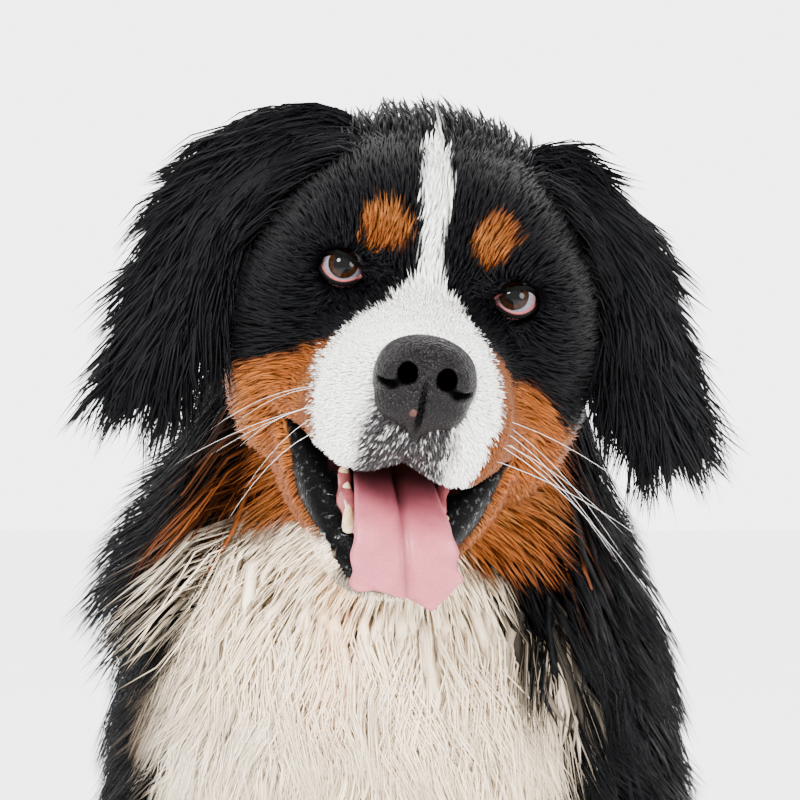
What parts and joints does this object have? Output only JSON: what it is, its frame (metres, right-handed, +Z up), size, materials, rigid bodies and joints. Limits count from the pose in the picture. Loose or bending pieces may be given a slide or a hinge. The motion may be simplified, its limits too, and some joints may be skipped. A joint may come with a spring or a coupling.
{
  "type": "bernese mountain dog, still life-size model",
  "caption": "Sitting long-coated mountain dog with black, rust and white coat, open mouth, hanging tongue and its head tilted to one side.",
  "frame": {"origin": "on the floor, under the middle of the whole dog's box, tail included", "axes": "+Z up, -Y the way the dog faces, +X to the dog's left"},
  "size_m": [0.5176, 1.1702, 0.9265],
  "materials": {
    "coat_black": "long soft black coat with a slight wave",
    "coat_rust": "short to medium rust coat",
    "coat_white": "white coat, slightly cream",
    "nose_leather": "moist pebbled black leather",
    "tongue": "wet pink tongue with a groove down its middle",
    "eye": "clear wet surface over a dark brown iris"
  },
  "bodies": {
    "root": {"head": "coat_black", "lower_jaw": "coat_rust", "nose": "nose_leather", "tongue": "tongue", "eye_left": "eye", "eye_right": "eye", "ear_left": "coat_black", "ear_right": "coat_black", "neck": "coat_black", "chest": "coat_black", "hindquarters": "coat_black", "tail_root": "coat_black", "tail_tip": "coat_black", "foreleg_left": "coat_rust", "foreleg_right": "coat_rust", "hindleg_left": "coat_black", "hindleg_right": "coat_black", "forepaw_left": "coat_white", "forepaw_right": "coat_white", "hindpaw_left": "coat_white", "hindpaw_right": "coat_white"}
  },
  "joints": []
}
